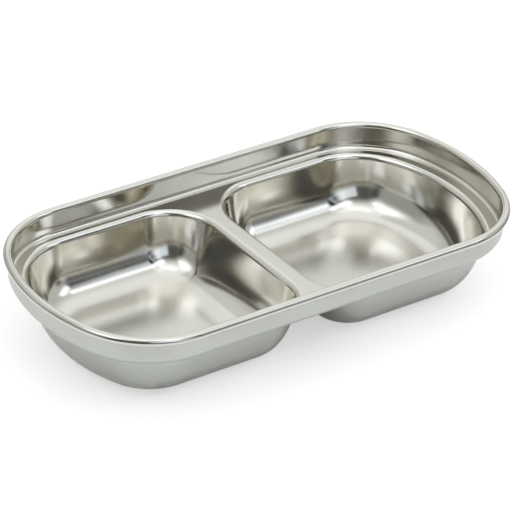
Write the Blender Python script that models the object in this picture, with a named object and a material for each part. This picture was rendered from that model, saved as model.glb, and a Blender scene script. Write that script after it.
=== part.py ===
"""Two-well pressed steel sauce dish.

The dish is one deep-drawn stainless blank.  It is modelled region by region,
each region a closed solid of sheet thickness, meeting its neighbours on shared
faces: rolled rim, collar wall, flat ledge, divider, and the two wells.
Millimetres below, metres in the scene.  +X is the long way, +Z is up, and Z = 0
is the underside of the well floors that the dish stands on.
"""

import math

import bpy
import numpy as np
from mathutils import Vector
from mathutils.geometry import tessellate_polygon

MM = 0.001

# ---------------------------------------------------------------- dimensions
SHEET = 0.6  # sheet thickness

LENGTH = 175.0  # over the rolled rim, along X
WIDTH = 87.3  # over the rolled rim, along Y
RIM_CORNER_R = 32.2  # plan radius of the four corners, at the outside
RIM_END_R = 67.5  # plan radius of the bowed ends, at the outside

CURL_R = 1.5  # outside radius of the rolled edge
CURL_END = -106.0  # degrees, where the raw edge of the curl stops
CURL_Z = 28.6  # height of the curl's centre

LEDGE_Z = 20.4  # top of the ledge and of the divider
COLLAR_LEAN = -0.65  # how far in the collar's foot stands from its head; here it stands out
COLLAR_FILLET_R = 1.4  # inside radius between the collar and the ledge

LIP_R = 2.25  # radius of the rounded edge of each well
WALL_TILT = 80.0  # degrees, how steeply the wall leaves the lip
WALL_HOLD = 0.765  # share of the wall's line that the drawn curve keeps to
FLOOR_HOLD = 0.74  # the same along the floor

# Plan of a well (the right one; the left one is its mirror image), where the
# ledge starts to round over, and where the floor goes flat.
LIP_X0, LIP_X1, LIP_HALF = 1.95, 81.3, 39.0
LIP_CORNER_R, LIP_END_R, LIP_INNER_R = 25.0, 54.0, 19.5
FLOOR_X0, FLOOR_X1, FLOOR_HALF = 20.3, 61.8, 19.5
FLOOR_CORNER_R, FLOOR_END_R, FLOOR_INNER_R = 9.7, 52.0, 1.0

# ---------------------------------------------------------------- resolution
SIDE_STEPS = 1
CORNER_STEPS = 8
END_STEPS = 8
INNER_CORNER_STEPS = 7
CURL_STEPS = 13
FILLET_STEPS = 4
LIP_STEPS = 3
DRAW_STEPS = 11


# ------------------------------------------------------------------- plan
def arc(cx, cy, radius, start, stop, steps):
    """Points and outward normals of an arc, without its last point."""
    a = start + (stop - start) * np.arange(steps) / steps
    normal = np.column_stack([np.cos(a), np.sin(a)])
    return np.array([cx, cy]) + radius * normal, normal


def straight(p, q, steps):
    t = (np.arange(steps) / steps)[:, None]
    p, q = np.array(p, float), np.array(q, float)
    along = (q - p) / np.linalg.norm(q - p)
    normal = np.repeat([[along[1], -along[0]]], steps, axis=0)
    return p + (q - p) * t, normal


def bowed_end(x1, half, corner_r, end_r):
    """Centres and the meeting angle of a bowed end with two round corners."""
    end_x = x1 - end_r
    corner_x = end_x + math.sqrt((end_r - corner_r) ** 2 - (half - corner_r) ** 2)
    return end_x, corner_x, math.atan2(half - corner_r, corner_x - end_x)


def joined(pieces):
    return (
        np.concatenate([points for points, _ in pieces]),
        np.concatenate([normals for _, normals in pieces]),
    )


def rim_plan():
    """The outside of the rim, counter-clockwise: points and outward normals."""
    half = WIDTH / 2
    end_x, corner_x, meet = bowed_end(LENGTH / 2, half, RIM_CORNER_R, RIM_END_R)
    corner_y = half - RIM_CORNER_R
    quarter = math.pi / 2
    pieces = []
    for turn in (0, 1):
        s = 1 - 2 * turn
        base = math.pi * turn
        pieces += [
            straight((-s * corner_x, -s * half), (s * corner_x, -s * half), SIDE_STEPS),
            arc(s * corner_x, -s * corner_y, RIM_CORNER_R, base - quarter, base - meet, CORNER_STEPS),
            arc(s * end_x, 0, RIM_END_R, base - meet, base + meet, END_STEPS),
            arc(s * corner_x, s * corner_y, RIM_CORNER_R, base + meet, base + quarter, CORNER_STEPS),
        ]
    return joined(pieces)


def well_plan(x0, x1, half, corner_r, end_r, inner_r):
    """A well's outline, counter-clockwise: bowed outside, straight at the divider."""
    end_x, corner_x, meet = bowed_end(x1, half, corner_r, end_r)
    corner_y = half - corner_r
    inner_x, inner_y = x0 + inner_r, half - inner_r
    quarter = math.pi / 2
    points, _ = joined(
        [
            straight((inner_x, -half), (corner_x, -half), SIDE_STEPS),
            arc(corner_x, -corner_y, corner_r, -quarter, -meet, CORNER_STEPS),
            arc(end_x, 0, end_r, -meet, meet, END_STEPS),
            arc(corner_x, corner_y, corner_r, meet, quarter, CORNER_STEPS),
            straight((corner_x, half), (inner_x, half), SIDE_STEPS),
            arc(inner_x, inner_y, inner_r, quarter, 2 * quarter, INNER_CORNER_STEPS),
            straight((x0, inner_y), (x0, -inner_y), SIDE_STEPS),
            arc(inner_x, -inner_y, inner_r, 2 * quarter, 3 * quarter, INNER_CORNER_STEPS),
        ]
    )
    return points


# ---------------------------------------------------------------- sections
def curl_section():
    """(inset from the outside, height) round the closed section of the rolled rim."""
    angles = np.radians(np.linspace(180.0, CURL_END, CURL_STEPS + 1))
    outer = [(CURL_R - CURL_R * math.cos(a), CURL_Z + CURL_R * math.sin(a)) for a in angles]
    hollow = CURL_R - SHEET
    inner = [(CURL_R - hollow * math.cos(a), CURL_Z + hollow * math.sin(a)) for a in angles[::-1]]
    return outer + inner


def collar_section():
    """(inset, height) round the closed section of the collar, down to the ledge."""
    top_in = 2 * CURL_R
    base_in = top_in + COLLAR_LEAN
    centre = (base_in + COLLAR_FILLET_R, LEDGE_Z + COLLAR_FILLET_R)
    angles = np.radians(np.linspace(180.0, 270.0, FILLET_STEPS + 1))
    inside = [(top_in, CURL_Z)] + [
        (centre[0] + COLLAR_FILLET_R * math.cos(a), centre[1] + COLLAR_FILLET_R * math.sin(a))
        for a in angles
    ]
    round_r = COLLAR_FILLET_R + SHEET
    outside = [
        (centre[0] + round_r * math.cos(a), centre[1] + round_r * math.sin(a))
        for a in angles[::-1]
    ] + [(top_in - SHEET, CURL_Z)]
    return inside + outside


def ledge_inset():
    return 2 * CURL_R + COLLAR_LEAN + COLLAR_FILLET_R


def well_sections(reach):
    """Sections from the ledge to the floor, one per distance in `reach`.

    Each is a rounded lip and one drawn curve, which leaves the lip along the
    steep wall and turns gradually until it lies flat at the floor's edge.
    Returns (inset, height) of the inside and of the outside skin.
    """
    tilt = math.radians(WALL_TILT)
    rows = []
    for i in range(LIP_STEPS + 1):
        a = tilt * i / LIP_STEPS
        rows.append((LIP_R * np.sin(a), LEDGE_Z - LIP_R + LIP_R * np.cos(a), a))
    head_x, head_z, _ = rows[-1]
    meet_x = head_x + (head_z - SHEET) / math.tan(tilt)  # the wall's line meets the floor's
    hold_x = head_x + WALL_HOLD * (meet_x - head_x)
    hold_z = head_z + WALL_HOLD * (SHEET - head_z)
    flat_x = reach + FLOOR_HOLD * (meet_x - reach)
    for i in range(1, DRAW_STEPS + 1):
        t = i / DRAW_STEPS
        u = 1 - t
        x = u**3 * head_x + 3 * u * u * t * hold_x + 3 * u * t * t * flat_x + t**3 * reach
        z = u**3 * head_z + 3 * u * u * t * hold_z + (3 * u * t * t + t**3) * SHEET
        ahead = u * u * (hold_x - head_x) + 2 * u * t * (flat_x - hold_x) + t * t * (reach - flat_x)
        down = u * u * (head_z - hold_z) + 2 * u * t * (hold_z - SHEET)
        rows.append((x, z, np.arctan2(down, ahead)))
    inside = [(x, z) for x, z, a in rows]
    outside = [(x - SHEET * np.sin(a), z - SHEET * np.cos(a)) for x, z, a in rows]
    return inside, outside


# ------------------------------------------------------------------- solids
def add_object(name, points, faces, colour, roughness):
    mesh = bpy.data.meshes.new(name)
    mesh.from_pydata([tuple(float(c) * MM for c in p) for p in points], [], faces)
    mesh.polygons.foreach_set("use_smooth", [True] * len(mesh.polygons))
    mesh.set_sharp_from_angle(angle=math.radians(40))
    mesh.update()
    material = bpy.data.materials.new(name + "_steel")
    material.use_nodes = True
    shader = material.node_tree.nodes["Principled BSDF"]
    shader.inputs["Base Color"].default_value = (*colour, 1.0)
    shader.inputs["Metallic"].default_value = 1.0
    shader.inputs["Roughness"].default_value = roughness
    mesh.materials.append(material)
    obj = bpy.data.objects.new(name, mesh)
    bpy.context.scene.collection.objects.link(obj)
    return obj


def band(first, second, count, faces):
    """Quads between two closed rings of `count` points that start at those indices."""
    for i in range(count):
        j = (i + 1) % count
        faces.append((first + i, first + j, second + j, second + i))


def swept_ring(name, section, colour, roughness):
    """A closed section carried all the way round the rim's plan."""
    section = np.array(section)
    ahead = np.roll(section, -1, axis=0)
    if (section[:, 1] * ahead[:, 0] - section[:, 0] * ahead[:, 1]).sum() < 0:
        section = section[::-1]  # so that the faces point outwards
    points, normals = rim_plan()
    count = len(points)
    rings = [
        np.column_stack([points - normals * inset, np.full(count, height)])
        for inset, height in section
    ]
    faces = []
    for k in range(len(rings)):
        band(k * count, (k + 1) % len(rings) * count, count, faces)
    return add_object(name, np.concatenate(rings), faces, colour, roughness)


def well(name, side, colour, roughness):
    """One well with its rounded lip; side is +1 for the right, -1 for the left."""
    top = well_plan(LIP_X0, LIP_X1, LIP_HALF, LIP_CORNER_R, LIP_END_R, LIP_INNER_R)
    low = well_plan(FLOOR_X0, FLOOR_X1, FLOOR_HALF, FLOOR_CORNER_R, FLOOR_END_R, FLOOR_INNER_R)
    count = len(top)
    reach = np.linalg.norm(low - top, axis=1)
    inward = (low - top) / reach[:, None]
    inside, outside = well_sections(reach)
    rings = []
    for inset, height in inside + outside[::-1]:
        plan = top + inward * np.broadcast_to(inset, count)[:, None]
        rings.append(np.column_stack([plan, np.broadcast_to(height, count)]))
    points = np.concatenate(rings)
    faces = []
    for k in range(len(rings)):
        if k == len(inside) - 1:
            continue  # the two floors close the section here
        band(k * count, (k + 1) % len(rings) * count, count, faces)
    for k, height, order in ((len(inside) - 1, SHEET, 1), (len(inside), 0.0, -1)):
        hub = len(points)
        points = np.vstack([points, [[(FLOOR_X0 + FLOOR_X1) / 2, 0.0, height]]])
        for i in range(count):
            j = (i + 1) % count
            faces.append((k * count + i, k * count + j, hub)[::order])
    if side < 0:
        points = points * np.array([-1.0, 1.0, 1.0])
        faces = [face[::-1] for face in faces]
    return add_object(name, points, faces, colour, roughness)


def plate(name, outline, holes, colour, roughness):
    """A flat piece of sheet at ledge height; every loop runs counter-clockwise."""
    loops = [outline] + holes
    plan = np.concatenate(loops)
    total = len(plan)
    corners = tessellate_polygon([[Vector((x, y, 0.0)) for x, y in loop] for loop in loops])
    faces = []
    for a, b, c in corners:
        (ux, uy), (vx, vy) = plan[b] - plan[a], plan[c] - plan[a]
        up = (a, b, c) if ux * vy > uy * vx else (a, c, b)
        faces.append(up)
        faces.append(tuple(i + total for i in up[::-1]))
    start = 0
    for k, loop in enumerate(loops):
        turn = 1 if k == 0 else -1
        for i in range(len(loop)):
            a, b = start + i, start + (i + 1) % len(loop)
            faces.append((a + total, b + total, b, a)[::turn])
        start += len(loop)
    solid = np.vstack(
        [
            np.column_stack([plan, np.full(total, LEDGE_Z)]),
            np.column_stack([plan, np.full(total, LEDGE_Z - SHEET)]),
        ]
    )
    return add_object(name, solid, faces, colour, roughness)


def ledge_and_divider():
    """The outlines of the ledge, of the space inside it, and of the divider."""
    points, normals = rim_plan()
    right = well_plan(LIP_X0, LIP_X1, LIP_HALF, LIP_CORNER_R, LIP_END_R, LIP_INNER_R)
    left = right * np.array([-1.0, 1.0])
    bowed = slice(SIDE_STEPS, SIDE_STEPS + 2 * CORNER_STEPS + END_STEPS + 1)
    inner = 2 * SIDE_STEPS + 2 * CORNER_STEPS + END_STEPS  # where the inner corner starts
    inside = np.concatenate([right[bowed], left[bowed][::-1]])
    web = np.concatenate([left[inner:], left[:1], right[:1], right[inner:][::-1]])
    return points - normals * ledge_inset(), inside, web


for leftover in list(bpy.data.objects):
    bpy.data.objects.remove(leftover, do_unlink=True)

swept_ring("rolled_rim", curl_section(), (0.80, 0.80, 0.78), 0.16)
swept_ring("collar", collar_section(), (0.74, 0.74, 0.72), 0.24)
ledge, ledge_inside, divider = ledge_and_divider()
plate("ledge", ledge, [ledge_inside], (0.76, 0.76, 0.74), 0.18)
plate("divider", divider, [], (0.76, 0.76, 0.74), 0.18)
well("left_well", -1, (0.75, 0.74, 0.72), 0.20)
well("right_well", 1, (0.75, 0.74, 0.72), 0.20)
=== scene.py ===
"""Looks of the two-well pressed steel dish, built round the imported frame.

Every CAD region is replaced by a fine mesh of the same sheet: the same plans and
sections as the construction, with many more steps, exact normals and round
transitions, so that polished steel shows no facets or seams.  Lengths below are
millimetres; meshes are made in metres.
"""

import math

import bpy
import numpy as np
from mathutils import Matrix, Vector
from mathutils.geometry import delaunay_2d_cdt


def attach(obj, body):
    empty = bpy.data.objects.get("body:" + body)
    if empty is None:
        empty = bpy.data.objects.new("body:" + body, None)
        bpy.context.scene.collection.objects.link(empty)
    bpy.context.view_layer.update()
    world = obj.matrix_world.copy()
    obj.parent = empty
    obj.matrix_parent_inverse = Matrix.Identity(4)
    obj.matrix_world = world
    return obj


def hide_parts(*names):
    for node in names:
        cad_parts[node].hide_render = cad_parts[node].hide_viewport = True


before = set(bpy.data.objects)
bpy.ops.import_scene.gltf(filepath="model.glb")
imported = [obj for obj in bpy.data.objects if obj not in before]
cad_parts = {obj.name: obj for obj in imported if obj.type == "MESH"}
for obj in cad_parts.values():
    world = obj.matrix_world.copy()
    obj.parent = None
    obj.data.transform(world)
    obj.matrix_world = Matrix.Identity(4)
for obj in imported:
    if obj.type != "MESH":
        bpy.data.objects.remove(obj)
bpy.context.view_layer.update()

MM = 0.001

# ---------------------------------------------------------------- dimensions
SHEET = 0.6
LENGTH, WIDTH = 175.0, 87.3
RIM_CORNER_R, RIM_END_R = 32.2, 67.5
CURL_R, CURL_END, CURL_Z = 1.5, -106.0, 28.6
LEDGE_Z = 20.4
COLLAR_LEAN, COLLAR_FILLET_R = -0.65, 1.4
LIP_R, WALL_TILT, WALL_HOLD, FLOOR_HOLD = 2.25, 80.0, 0.765, 0.74
LIP_X0, LIP_X1, LIP_HALF = 1.95, 81.3, 39.0
LIP_CORNER_R, LIP_END_R, LIP_INNER_R = 25.0, 54.0, 19.5
FLOOR_X0, FLOOR_X1, FLOOR_HALF = 20.3, 61.8, 19.5
FLOOR_CORNER_R, FLOOR_END_R, FLOOR_INNER_R = 9.7, 52.0, 1.0

# ---------------------------------------------------------------- resolution
SIDE_STEPS, CORNER_STEPS, END_STEPS, INNER_STEPS = 14, 36, 36, 28
CURL_STEPS, EDGE_STEPS, COLLAR_STEPS, FILLET_STEPS = 44, 6, 6, 12
LIP_STEPS, DRAW_STEPS, FLOOR_RINGS = 14, 36, 10
FINE = 8  # the plan is sampled this much finer where its tangents are measured

SKIN_IN, SKIN_OUT, JOINT = 0, 1, 2  # what a face is: inside skin, outside skin, hidden joint


# ------------------------------------------------------------------- plan
def arc(cx, cy, radius, start, stop, steps):
    a = start + (stop - start) * np.arange(steps) / steps
    normal = np.column_stack([np.cos(a), np.sin(a)])
    return np.array([cx, cy]) + radius * normal, normal


def straight(p, q, steps):
    t = (np.arange(steps) / steps)[:, None]
    p, q = np.array(p, float), np.array(q, float)
    along = (q - p) / np.linalg.norm(q - p)
    return p + (q - p) * t, np.repeat([[along[1], -along[0]]], steps, axis=0)


def bowed_end(x1, half, corner_r, end_r):
    end_x = x1 - end_r
    corner_x = end_x + math.sqrt((end_r - corner_r) ** 2 - (half - corner_r) ** 2)
    return end_x, corner_x, math.atan2(half - corner_r, corner_x - end_x)


def joined(pieces):
    return (
        np.concatenate([points for points, _ in pieces]),
        np.concatenate([normals for _, normals in pieces]),
    )


def rim_plan():
    half = WIDTH / 2
    end_x, corner_x, meet = bowed_end(LENGTH / 2, half, RIM_CORNER_R, RIM_END_R)
    corner_y = half - RIM_CORNER_R
    quarter = math.pi / 2
    pieces = []
    for turn in (0, 1):
        s, base = 1 - 2 * turn, math.pi * turn
        pieces += [
            straight((-s * corner_x, -s * half), (s * corner_x, -s * half), 2 * SIDE_STEPS),
            arc(s * corner_x, -s * corner_y, RIM_CORNER_R, base - quarter, base - meet, CORNER_STEPS),
            arc(s * end_x, 0, RIM_END_R, base - meet, base + meet, END_STEPS),
            arc(s * corner_x, s * corner_y, RIM_CORNER_R, base + meet, base + quarter, CORNER_STEPS),
        ]
    return joined(pieces)


def well_plan(x0, x1, half, corner_r, end_r, inner_r, fine=1):
    end_x, corner_x, meet = bowed_end(x1, half, corner_r, end_r)
    corner_y = half - corner_r
    inner_x, inner_y = x0 + inner_r, half - inner_r
    quarter = math.pi / 2
    points, _ = joined(
        [
            straight((inner_x, -half), (corner_x, -half), SIDE_STEPS * fine),
            arc(corner_x, -corner_y, corner_r, -quarter, -meet, CORNER_STEPS * fine),
            arc(end_x, 0, end_r, -meet, meet, END_STEPS * fine),
            arc(corner_x, corner_y, corner_r, meet, quarter, CORNER_STEPS * fine),
            straight((corner_x, half), (inner_x, half), SIDE_STEPS * fine),
            arc(inner_x, inner_y, inner_r, quarter, 2 * quarter, INNER_STEPS * fine),
            straight((x0, inner_y), (x0, -inner_y), SIDE_STEPS * fine),
            arc(inner_x, -inner_y, inner_r, 2 * quarter, 3 * quarter, INNER_STEPS * fine),
        ]
    )
    return points


LIP_PLAN = (LIP_X0, LIP_X1, LIP_HALF, LIP_CORNER_R, LIP_END_R, LIP_INNER_R)
FLOOR_PLAN = (FLOOR_X0, FLOOR_X1, FLOOR_HALF, FLOOR_CORNER_R, FLOOR_END_R, FLOOR_INNER_R)
LEDGE_INSET = 2 * CURL_R + COLLAR_LEAN + COLLAR_FILLET_R


# ------------------------------------------------------------------- meshes
class Sheet:
    """Points with their surface normals, and faces with what each one is."""

    def __init__(self):
        self.points, self.normals, self.faces, self.kinds = [], [], [], []
        self.count = 0

    def ring(self, points, normals):
        first = self.count
        self.points.append(np.asarray(points, float))
        self.normals.append(np.asarray(normals, float))
        self.count += len(points)
        return first

    def band(self, a, b, count, kind):
        for i in range(count):
            j = (i + 1) % count
            self.faces.append((a + i, a + j, b + j, b + i))
            self.kinds.append(kind)

    def fan(self, ring, hub, count, kind, turn=1):
        for i in range(count):
            self.faces.append((ring + i, ring + (i + 1) % count, hub)[::turn])
            self.kinds.append(kind)

    def build(self, name, mirror=False):
        points = np.concatenate(self.points)
        normals = np.concatenate(self.normals)
        normals = normals / np.linalg.norm(normals, axis=1)[:, None]
        faces = self.faces
        if mirror:
            flip = np.array([-1.0, 1.0, 1.0])
            points, normals = points * flip, normals * flip
            faces = [face[::-1] for face in faces]
        mesh = bpy.data.meshes.new(name)
        mesh.from_pydata((points * MM).tolist(), [], faces)
        mesh.polygons.foreach_set("use_smooth", [True] * len(faces))
        mesh.materials.append(INSIDE_STEEL)
        mesh.materials.append(OUTSIDE_STEEL)
        mesh.polygons.foreach_set("material_index", [min(kind, 1) for kind in self.kinds])
        mesh.update()
        corner_normals = np.empty((len(mesh.loops), 3))
        for polygon, kind in zip(mesh.polygons, self.kinds):
            span = slice(polygon.loop_start, polygon.loop_start + polygon.loop_total)
            if kind == JOINT:
                corner_normals[span] = polygon.normal
            else:
                corner_normals[span] = normals[list(polygon.vertices)]
        mesh.normals_split_custom_set(corner_normals.tolist())
        obj = bpy.data.objects.new(name, mesh)
        bpy.context.scene.collection.objects.link(obj)
        return obj


def swept(name, section):
    """A section carried round the rim: (inset, height, normal inset, normal height, kind of the face after it)."""
    plan, out = rim_plan()
    count = len(plan)
    sheet = Sheet()
    rings = []
    for inset, height, n_in, n_up, _ in section:
        points = np.column_stack([plan - out * inset, np.full(count, height)])
        normals = np.column_stack([-out * n_in, np.full(count, n_up)])
        rings.append(sheet.ring(points, normals))
    for k, row in enumerate(section):
        sheet.band(rings[k], rings[(k + 1) % len(rings)], count, row[4])
    return sheet.build(name)


def collar_lean():
    """Angle of the straight wall that is tangent to the curl and to the fillet."""
    across = 2 * CURL_R + COLLAR_LEAN + COLLAR_FILLET_R - CURL_R
    down = CURL_Z - (LEDGE_Z + COLLAR_FILLET_R)
    reach = math.hypot(across, down)
    return math.asin(across / reach) - math.asin((CURL_R + COLLAR_FILLET_R) / reach)


def rim_section():
    """The curl: outside from its raw edge over the top to the collar, then its hollow back."""
    stop = math.radians(CURL_END)
    start = math.pi - collar_lean()
    mid, half = CURL_R - SHEET / 2, SHEET / 2
    rows = []
    for i in range(CURL_STEPS + 1):
        a = stop + (start - stop) * i / CURL_STEPS
        rows.append((CURL_R - CURL_R * math.cos(a), CURL_Z + CURL_R * math.sin(a), -math.cos(a), math.sin(a), SKIN_IN))
    rows[-1] = rows[-1][:4] + (JOINT,)
    hollow = CURL_R - SHEET
    for i in range(CURL_STEPS + 1):
        a = start + (stop - start) * i / CURL_STEPS
        rows.append((CURL_R - hollow * math.cos(a), CURL_Z + hollow * math.sin(a), math.cos(a), -math.sin(a), SKIN_OUT))
    # the raw edge, rounded over
    cx, cz = CURL_R - mid * math.cos(stop), CURL_Z + mid * math.sin(stop)
    for i in range(1, EDGE_STEPS):
        t = math.pi * i / EDGE_STEPS
        # from the hollow side round to the outside
        along = (-math.sin(stop), -math.cos(stop))  # ahead of the edge, away from the curl
        radial = (-math.cos(stop), math.sin(stop))
        n_in = -math.cos(t) * radial[0] + math.sin(t) * along[0]
        n_up = -math.cos(t) * radial[1] + math.sin(t) * along[1]
        rows.append((cx + half * n_in, cz + half * n_up, n_in, n_up, SKIN_OUT))
    return rows


def collar_section():
    """The collar: inside wall down to the ledge with its fillet, then the outside back up."""
    lean = collar_lean()
    n = (math.cos(lean), math.sin(lean))
    centre = (LEDGE_INSET, LEDGE_Z + COLLAR_FILLET_R)
    rows = []
    for radius, fillet, side in ((CURL_R, COLLAR_FILLET_R, 1), (CURL_R - SHEET, COLLAR_FILLET_R + SHEET, -1)):
        head = (CURL_R + radius * n[0], CURL_Z + radius * n[1])
        foot = (centre[0] - fillet * n[0], centre[1] - fillet * n[1])
        kind = SKIN_IN if side > 0 else SKIN_OUT
        skin = []
        for i in range(COLLAR_STEPS):
            t = i / COLLAR_STEPS
            skin.append((head[0] + (foot[0] - head[0]) * t, head[1] + (foot[1] - head[1]) * t, side * n[0], side * n[1], kind))
        for i in range(FILLET_STEPS + 1):
            a = lean + (math.pi / 2 - lean) * i / FILLET_STEPS
            c, s = math.cos(a), math.sin(a)
            skin.append((centre[0] - fillet * c, centre[1] - fillet * s, side * c, side * s, kind))
        if side < 0:
            skin = skin[::-1]
        skin[-1] = skin[-1][:4] + (JOINT,)
        rows += skin
    return rows


def well_skin(reach, depth):
    """(inset, height, slope angle) of every ring, from the ledge to the floor's edge, at a depth in the sheet."""
    tilt = np.full_like(reach, math.radians(WALL_TILT))
    rows = []
    for i in range(LIP_STEPS + 1):
        a = tilt * i / LIP_STEPS
        rows.append((LIP_R * np.sin(a), LEDGE_Z - LIP_R + LIP_R * np.cos(a), a))
    head_x, head_z, _ = rows[-1]
    meet_x = head_x + (head_z - SHEET) / np.tan(tilt)
    hold_x = head_x + WALL_HOLD * (meet_x - head_x)
    hold_z = head_z + WALL_HOLD * (SHEET - head_z)
    flat_x = reach + FLOOR_HOLD * (meet_x - reach)
    for i in range(1, DRAW_STEPS + 1):
        t = i / DRAW_STEPS
        u = 1 - t
        x = u**3 * head_x + 3 * u * u * t * hold_x + 3 * u * t * t * flat_x + t**3 * reach
        z = u**3 * head_z + 3 * u * u * t * hold_z + (3 * u * t * t + t**3) * SHEET
        ahead = u * u * (hold_x - head_x) + 2 * u * t * (flat_x - hold_x) + t * t * (reach - flat_x)
        down = u * u * (head_z - hold_z) + 2 * u * t * (hold_z - SHEET)
        rows.append((x, z, np.arctan2(down, ahead)))
    return [(x - depth * np.sin(a), z - depth * np.cos(a), a) for x, z, a in rows]


def well(name, mirror):
    top, low = well_plan(*LIP_PLAN, FINE), well_plan(*FLOOR_PLAN, FINE)
    reach = np.linalg.norm(low - top, axis=1)
    inward = (low - top) / reach[:, None]
    sheet = Sheet()
    count = len(top) // FINE
    skins = []
    for side, depth in ((1, 0.0), (-1, SHEET)):
        rings = []
        for inset, height, a in well_skin(reach, depth):
            points = np.column_stack([top + inward * inset[:, None], height])
            around = np.roll(points, -1, axis=0) - np.roll(points, 1, axis=0)
            down = np.column_stack([inward * np.cos(a)[:, None], -np.sin(a)])
            normals = side * np.cross(around, down)
            rings.append(sheet.ring(points[::FINE], normals[::FINE]))
        height = SHEET if side > 0 else 0.0
        centre = np.array([(FLOOR_X0 + FLOOR_X1) / 2, 0.0])
        edge = low[::FINE]
        flat = np.repeat([[0.0, 0.0, float(side)]], count, axis=0)
        for j in range(1, FLOOR_RINGS):
            plan = edge + (centre - edge) * (j / FLOOR_RINGS)
            rings.append(sheet.ring(np.column_stack([plan, np.full(count, height)]), flat))
        hub = sheet.ring([[*centre, height]], flat[:1])
        skins.append((rings, hub))
    (inside, in_hub), (outside, out_hub) = skins
    for a, b in zip(inside, inside[1:]):
        sheet.band(a, b, count, SKIN_IN)
    sheet.fan(inside[-1], in_hub, count, SKIN_IN)
    for a, b in zip(outside, outside[1:]):
        sheet.band(b, a, count, SKIN_OUT)
    sheet.fan(outside[-1], out_hub, count, SKIN_OUT, -1)
    sheet.band(outside[0], inside[0], count, JOINT)
    return sheet.build(name, mirror)


def plate(name, outline, holes):
    """A flat piece of the sheet at ledge height, filled evenly between its loops."""
    loops = [outline] + holes
    plan = np.concatenate(loops)
    total = len(plan)
    edges, start = [], 0
    for loop in loops:
        edges += [(start + i, start + (i + 1) % len(loop)) for i in range(len(loop))]
        start += len(loop)
    made = delaunay_2d_cdt([Vector(p) for p in plan], edges, [], 0, 1e-7)
    assert len(made[0]) == total
    order = [ids[0] for ids in made[3]]

    def within(loop, p):
        a, b = loop, np.roll(loop, -1, axis=0)
        crosses = (a[:, 1] > p[1]) != (b[:, 1] > p[1])
        at = a[:, 0] + (p[1] - a[:, 1]) / np.where(b[:, 1] == a[:, 1], 1.0, b[:, 1] - a[:, 1]) * (b[:, 0] - a[:, 0])
        return bool((crosses & (p[0] < at)).sum() % 2)

    sheet = Sheet()
    up = np.repeat([[0.0, 0.0, 1.0]], total, axis=0)
    sheet.ring(np.column_stack([plan, np.full(total, LEDGE_Z)]), up)
    sheet.ring(np.column_stack([plan, np.full(total, LEDGE_Z - SHEET)]), -up)
    for face in made[2]:
        face = [order[i] for i in face]
        middle = plan[face].mean(axis=0)
        if not within(outline, middle) or any(within(hole, middle) for hole in holes):
            continue
        (ux, uy), (vx, vy) = plan[face[1]] - plan[face[0]], plan[face[2]] - plan[face[0]]
        if ux * vy < uy * vx:
            face = face[::-1]
        sheet.faces += [tuple(face), tuple(i + total for i in face[::-1])]
        sheet.kinds += [SKIN_IN, SKIN_OUT]
    start = 0
    for k, loop in enumerate(loops):
        for i in range(len(loop)):
            a, b = start + i, start + (i + 1) % len(loop)
            sheet.faces.append((a + total, b + total, b, a)[:: 1 if k == 0 else -1])
            sheet.kinds.append(JOINT)
        start += len(loop)
    return sheet.build(name)


def ledge_and_divider():
    rim, out = rim_plan()
    right = well_plan(*LIP_PLAN)
    left = right * np.array([-1.0, 1.0])
    inner = 2 * SIDE_STEPS + 2 * CORNER_STEPS + END_STEPS
    inside = np.concatenate([right[: inner + 1], left[: inner + 1][::-1]])
    web = np.concatenate([left[inner:], left[:1], right[:1], right[inner:][::-1]])
    return rim - out * LEDGE_INSET, inside, web


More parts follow.
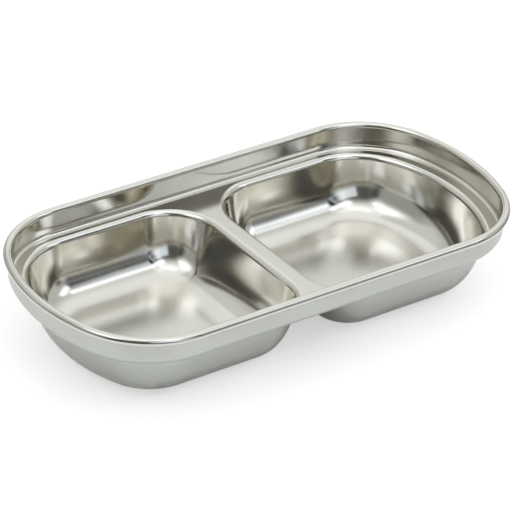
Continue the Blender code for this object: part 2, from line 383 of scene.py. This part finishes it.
# ---------------------------------------------------------------- materials
class Steel:
    """A metal material whose detail is wired from nodes in the piece's own coordinates."""

    def __init__(self, name):
        self.material = bpy.data.materials.new(name)
        self.material.use_nodes = True
        self.tree = self.material.node_tree
        self.shader = self.tree.nodes["Principled BSDF"]
        self.shader.inputs["Metallic"].default_value = 1.0
        self.place = self.tree.nodes.new("ShaderNodeTexCoord").outputs["Object"]

    def put(self, value, socket):
        if isinstance(value, bpy.types.NodeSocket):
            self.tree.links.new(value, socket)
        else:
            socket.default_value = value

    def math(self, operation, *values):
        node = self.tree.nodes.new("ShaderNodeMath")
        node.operation = operation
        for value, socket in zip(values, node.inputs):
            self.put(value, socket)
        return node.outputs[0]

    def height(self):
        node = self.tree.nodes.new("ShaderNodeSeparateXYZ")
        self.put(self.place, node.inputs[0])
        return node.outputs["Z"]

    def ramp(self, value, low, high, to_low, to_high):
        node = self.tree.nodes.new("ShaderNodeMapRange")
        node.interpolation_type = "SMOOTHSTEP"
        for key, given in (("Value", value), ("From Min", low), ("From Max", high), ("To Min", to_low), ("To Max", to_high)):
            self.put(given, node.inputs[key])
        return node.outputs["Result"]

    def noise(self, per_metre, detail=2.0, turn=0.0):
        """Noise with its own number of features per metre along x, y and z."""
        spread = self.tree.nodes.new("ShaderNodeMapping")
        self.put(self.place, spread.inputs["Vector"])
        spread.inputs["Rotation"].default_value = (0.0, 0.0, math.radians(turn))
        spread.inputs["Scale"].default_value = per_metre
        node = self.tree.nodes.new("ShaderNodeTexNoise")
        self.put(spread.outputs[0], node.inputs["Vector"])
        node.inputs["Scale"].default_value = 1.0
        node.inputs["Detail"].default_value = detail
        return node.outputs[0]

    def colour(self, factor, first, second):
        node = self.tree.nodes.new("ShaderNodeMix")
        node.data_type = "RGBA"
        self.put(factor, node.inputs["Factor"])
        for name, value in (("A", first), ("B", second)):
            [socket for socket in node.inputs if socket.name == name and socket.type == "RGBA"][0].default_value = (*value, 1.0)
        self.put([socket for socket in node.outputs if socket.type == "RGBA"][0], self.shader.inputs["Base Color"])

    def bumps(self, *layers):
        """Relief from (texture, depth in metres) layers, one over the other."""
        below = None
        for texture, depth in layers:
            node = self.tree.nodes.new("ShaderNodeBump")
            node.inputs["Strength"].default_value = 1.0
            node.inputs["Distance"].default_value = depth
            self.put(texture, node.inputs["Height"])
            if below is not None:
                self.put(below, node.inputs["Normal"])
            below = node.outputs["Normal"]
        self.put(below, self.shader.inputs["Normal"])


def polished():
    """Buffed inside: brightest on the walls and rim, hazier on the floors, with fine wipe marks."""
    steel = Steel("polished_steel")
    height = steel.height()
    haze = steel.noise((60.0, 60.0, 60.0), 4.0)
    wipes = steel.noise((1500.0, 45.0, 300.0), 3.0, 24.0)
    across = steel.noise((1700.0, 55.0, 340.0), 3.0, -58.0)
    marks = steel.math("ADD", steel.ramp(wipes, 0.60, 0.70, 0.0, 1.0), steel.ramp(across, 0.63, 0.72, 0.0, 1.0))
    floor = steel.ramp(height, 0.0009, 0.0032, 0.070, 0.0)
    ledge = steel.math("MULTIPLY", steel.ramp(height, 0.0199, 0.0203, 0.0, 0.025), steel.ramp(height, 0.0206, 0.0210, 1.0, 0.0))
    rough = steel.math("ADD", steel.math("ADD", floor, ledge), steel.ramp(haze, 0.30, 0.72, 0.125, 0.155))
    steel.put(steel.math("MULTIPLY_ADD", marks, 0.018, rough), steel.shader.inputs["Roughness"])
    steel.colour(haze, (0.725, 0.703, 0.656), (0.690, 0.668, 0.622))
    steel.bumps((steel.noise((34.0, 34.0, 34.0), 1.0), 0.00010), (marks, 0.0000004))
    return steel.material


def satin():
    """Fine matt outside with a grain that runs level round the wells."""
    steel = Steel("satin_steel")
    cloud = steel.noise((45.0, 45.0, 45.0), 3.0)
    grain = steel.noise((70.0, 70.0, 5200.0), 2.0)
    rough = steel.math("ADD", steel.ramp(cloud, 0.3, 0.7, 0.27, 0.32), steel.ramp(grain, 0.3, 0.7, -0.02, 0.02))
    steel.put(rough, steel.shader.inputs["Roughness"])
    steel.colour(cloud, (0.586, 0.583, 0.548), (0.552, 0.549, 0.514))
    steel.bumps((steel.noise((40.0, 40.0, 40.0), 1.0), 0.00008), (grain, 0.0000012))
    return steel.material


INSIDE_STEEL, OUTSIDE_STEEL = polished(), satin()

# ------------------------------------------------------------------- pieces
ledge_line, ledge_inside, divider_line = ledge_and_divider()
parts = [
    (swept("rim_skin", rim_section()), "rim_steel", "rolled_rim"),
    (swept("collar_skin", collar_section()), "body_steel", "collar"),
    (plate("ledge_skin", ledge_line, [ledge_inside]), "body_steel", "ledge"),
    (plate("divider_skin", divider_line, []), "body_steel", "divider"),
    (well("left_well_skin", True), "body_steel", "left_well"),
    (well("right_well_skin", False), "body_steel", "right_well"),
]
for piece, slot, node in parts:
    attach(piece, "root")
    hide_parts(node)

# -------------------------------------------------------------------- stage
# A plain pale floor.  Cards lie on it that only gloss shows, dark ones beyond the picture
# and paler ones near by: they keep the outside of the dish from mirroring white all over.
# The greyer card right under the dish is painted shadow: the floor's shade beneath the dish, shown only in the steel's
# reflections.
VIEW_AZIMUTH = math.radians(-37.706)


def flat(name, height, left, right, back, front, colour, glow, turn=VIEW_AZIMUTH):
    """A level rectangle, square to the camera's view or turned otherwise; distances from the dish's middle."""
    s, c = math.sin(turn), math.cos(turn)
    corners = [(left, front), (right, front), (right, back), (left, back)]
    mesh = bpy.data.meshes.new(name)
    mesh.from_pydata([(c * r + s * f, s * r - c * f, height) for r, f in corners], [], [(0, 1, 2, 3)])
    material = bpy.data.materials.new(name)
    material.use_nodes = True
    tree = material.node_tree
    shader = tree.nodes["Principled BSDF"]
    shader.inputs["Base Color"].default_value = (*colour, 1.0)
    shader.inputs["Roughness"].default_value = 0.9
    shader.inputs["Emission Color"].default_value = (1.0, 1.0, 1.0, 1.0)
    shader.inputs["Emission Strength"].default_value = glow
    open_below = tree.nodes.new("ShaderNodeMixShader")  # from below the floor is clear, so the underside can be seen
    tree.links.new(tree.nodes.new("ShaderNodeNewGeometry").outputs["Backfacing"], open_below.inputs["Fac"])
    tree.links.new(shader.outputs[0], open_below.inputs[1])
    tree.links.new(tree.nodes.new("ShaderNodeBsdfTransparent").outputs[0], open_below.inputs[2])
    tree.links.new(open_below.outputs[0], tree.nodes["Material Output"].inputs["Surface"])
    mesh.materials.append(material)
    obj = bpy.data.objects.new(name, mesh)
    bpy.context.scene.collection.objects.link(obj)
    return obj


FAR, LEFT, RIGHT, BACK, FRONT = 4.0, -0.170, 0.160, -1.2, 0.175
flat("pale_floor", -0.0001, -FAR, FAR, -FAR, FAR, (0.945, 0.918, 0.925), 0.42)
for name, height, edges, grey, glow, turn in (
    ("front_card", -0.00008, (-FAR, FAR, FRONT, FAR), 0.20, 0.0, VIEW_AZIMUTH),
    ("back_card", -0.00008, (-FAR, FAR, -FAR, BACK), 0.20, 0.0, VIEW_AZIMUTH),
    ("left_card", -0.00008, (-FAR, LEFT, BACK, FRONT), 0.20, 0.0, VIEW_AZIMUTH),
    ("right_card", -0.00008, (RIGHT, FAR, BACK, FRONT), 0.20, 0.0, VIEW_AZIMUTH),
    ("near_card", -0.00008, (LEFT, RIGHT, BACK, FRONT), 0.96, 0.11, VIEW_AZIMUTH),
    # painted shadow: a greyer card under the dish, seen only in reflections, standing in for the floor's shade there
    ("painted_shadow_card", -0.00004, (-0.060, 0.074, -0.034, 0.034), 0.75, 0.11, 0.0),
):
    card = flat(name, height, *edges, (grey, grey, grey), glow, turn)
    card.visible_camera = card.visible_diffuse = card.visible_shadow = False

# -------------------------------------------------------------------- light
# A studio of softboxes and cards, far off all round.  Angles are degrees: phi turns
# to the camera's right from straight behind the camera, el rises from the table.
ROOM, CEILING, CEILING_FROM, CEILING_BLEND = 1.01, 1.07, 67, 4.5
BACKDROP, WARM, COOL = (0.90, 0.90, 0.90), (0.97, 1.0, 0.985), (0.91, 1.0, 1.12)
SOFTBOXES = (
    # phi, el, half width, half height, soft edge, tilt, gain (below zero: a dark card), share of cool light
    (21.5, 74.5, 80, 8, 10, -5, 0.48, 0.2),
    (-60, 54.5, 20, 1.5, 17, -4, 2.91, 0.7),
    (-32.5, 49.5, 4.5, 1.5, 4.5, -11, 3.01, 0.7),
    (59, 52, 31, 4.5, 7, -2, 1.77, 0.7),
    (39, 29.5, 27.5, 10, 3, 9, 0.74, 1.0),
    (90.5, 36.5, 13.5, 5, 4.5, 11, 1.44, 1.0),
    (61, 42, 43.5, 3, 11.5, -64.5, 1.00, 0.0),
    (8.5, 28.5, 31.5, 24, 16, 0.5, -0.85, 0.0),
    (-55, 17.5, 34.5, 22, 10, -6, -0.61, 0.0),
    (60.5, 36.5, 12.5, 16.5, 10.5, -1.5, -1.41, 0.0),
    (95.5, 29.5, 44.5, 29.5, 18, -34.5, -0.44, 0.0),
    (22.5, 0.5, 62.5, 1.5, 8.5, -2.5, -1.46, 0.0),
    (-128.5, 14.5, 36.5, 15, 14, -19.5, -0.52, 0.0),
    (118, -1.5, 71.5, 5.5, 2.5, 23.5, -0.44, 0.0),
    (70.5, -2.5, 13.5, 25.5, 6, -23.5, -0.57, 0.0),
    (-107.5, 47.5, 25.5, 22.5, 6, -20.5, -0.29, 0.0),
)


def studio():
    world = bpy.data.worlds.new("studio")
    bpy.context.scene.world = world
    world.use_nodes = True
    tree = world.node_tree
    link = tree.links.new

    def math_node(operation, *inputs):
        node = tree.nodes.new("ShaderNodeMath")
        node.operation = operation
        for socket, value in zip(node.inputs, inputs):
            if isinstance(value, (int, float)):
                socket.default_value = value
            else:
                link(value, socket)
        return node.outputs[0]

    def along(vector, axis):
        node = tree.nodes.new("ShaderNodeVectorMath")
        node.operation = "DOT_PRODUCT"
        link(vector, node.inputs[0])
        node.inputs[1].default_value = axis
        return node.outputs["Value"]

    def fade(value, middle, soft):
        """1 below the middle, 0 above it, over twice the soft width."""
        node = tree.nodes.new("ShaderNodeMapRange")
        node.interpolation_type = "SMOOTHSTEP"
        link(value, node.inputs["Value"])
        node.inputs["From Min"].default_value = math.radians(middle - soft)
        node.inputs["From Max"].default_value = math.radians(middle + soft)
        node.inputs["To Min"].default_value, node.inputs["To Max"].default_value = 1.0, 0.0
        return node.outputs["Result"]

    direction = tree.nodes.new("ShaderNodeTexCoord").outputs["Generated"]
    s, c = math.sin(VIEW_AZIMUTH), math.cos(VIEW_AZIMUTH)
    phi = math_node("ARCTAN2", along(direction, (c, s, 0.0)), along(direction, (s, -c, 0.0)))
    el = math_node("ARCSINE", along(direction, (0.0, 0.0, 1.0)))
    warm = math_node("MULTIPLY_ADD", fade(el, CEILING_FROM, CEILING_BLEND), ROOM - CEILING, CEILING)
    cool = 0.0
    for p, e, wide, high, soft, tilt, gain, fresh in SOFTBOXES:
        aside = math_node("WRAP", math_node("SUBTRACT", phi, math.radians(p)), math.pi, -math.pi)
        above = math_node("SUBTRACT", el, math.radians(e))
        c, s = math.cos(math.radians(tilt)), math.sin(math.radians(tilt))
        along_it = math_node("ABSOLUTE", math_node("MULTIPLY_ADD", above, s, math_node("MULTIPLY", aside, c)))
        across_it = math_node("ABSOLUTE", math_node("MULTIPLY_ADD", aside, -s, math_node("MULTIPLY", above, c)))
        mask = math_node("MULTIPLY", fade(along_it, wide, soft), fade(across_it, high, soft))
        if fresh < 1:
            warm = math_node("MULTIPLY_ADD", mask, gain * (1 - fresh), warm)
        if fresh > 0:
            cool = math_node("MULTIPLY_ADD", mask, gain * fresh, cool)
    cool = math_node("ADD", cool, math_node("MINIMUM", warm, 0.0))  # dark cards stand before cool light as well
    both = tree.nodes.new("ShaderNodeAddShader")
    second = tree.nodes.new("ShaderNodeBackground")
    for i, (shader, colour, level) in enumerate(((tree.nodes["Background"], WARM, warm), (second, COOL, cool))):
        shader.inputs["Color"].default_value = (*colour, 1.0)
        link(math_node("MAXIMUM", level, 0.0), shader.inputs["Strength"])
        link(shader.outputs[0], both.inputs[i])
    plain = tree.nodes.new("ShaderNodeBackground")
    plain.inputs["Color"].default_value = (*BACKDROP, 1.0)
    seen = tree.nodes.new("ShaderNodeMixShader")
    link(tree.nodes.new("ShaderNodeLightPath").outputs["Is Camera Ray"], seen.inputs["Fac"])
    link(both.outputs[0], seen.inputs[1])
    link(plain.outputs[0], seen.inputs[2])
    link(seen.outputs[0], tree.nodes["World Output"].inputs["Surface"])


studio()

# ------------------------------------------------------------------- camera
AZIMUTH, ELEVATION, ROLL = VIEW_AZIMUTH, math.radians(31.555), math.radians(4.010)
back = Vector((math.sin(AZIMUTH) * math.cos(ELEVATION), -math.cos(AZIMUTH) * math.cos(ELEVATION), math.sin(ELEVATION)))
right = Vector((math.cos(AZIMUTH), math.sin(AZIMUTH), 0.0))
up = back.cross(right)
right, up = math.cos(ROLL) * right + math.sin(ROLL) * up, -math.sin(ROLL) * right + math.cos(ROLL) * up
place = (right * -1.846 + up * -9.280 + back * 1047.217 + Vector((0.0, 0.0, 28.74))) * MM
camera = bpy.data.objects.new("camera", bpy.data.cameras.new("camera"))
camera.data.sensor_width = 36.0
camera.data.lens = 3237.266 * 36.0 / 512
camera.matrix_world = Matrix(((right.x, up.x, back.x, place.x), (right.y, up.y, back.y, place.y), (right.z, up.z, back.z, place.z), (0, 0, 0, 1)))
camera.data.clip_start, camera.data.clip_end = 0.01, 50.0
bpy.context.scene.collection.objects.link(camera)
bpy.context.scene.camera = camera

# A little more contrast than a straight print: shadows lower, middle tones higher.
view = bpy.context.scene.view_settings
view.view_transform = "Standard"
view.use_curve_mapping = True
tone = view.curve_mapping.curves[3]
for light, printed in ((0.05, 0.028), (0.11, 0.070), (0.24, 0.231), (0.40, 0.432), (0.60, 0.652), (0.78, 0.826)):
    tone.points.new(light, printed)
view.curve_mapping.update()

# --------------------------------------------------------------------- update
bpy.context.view_layer.update()
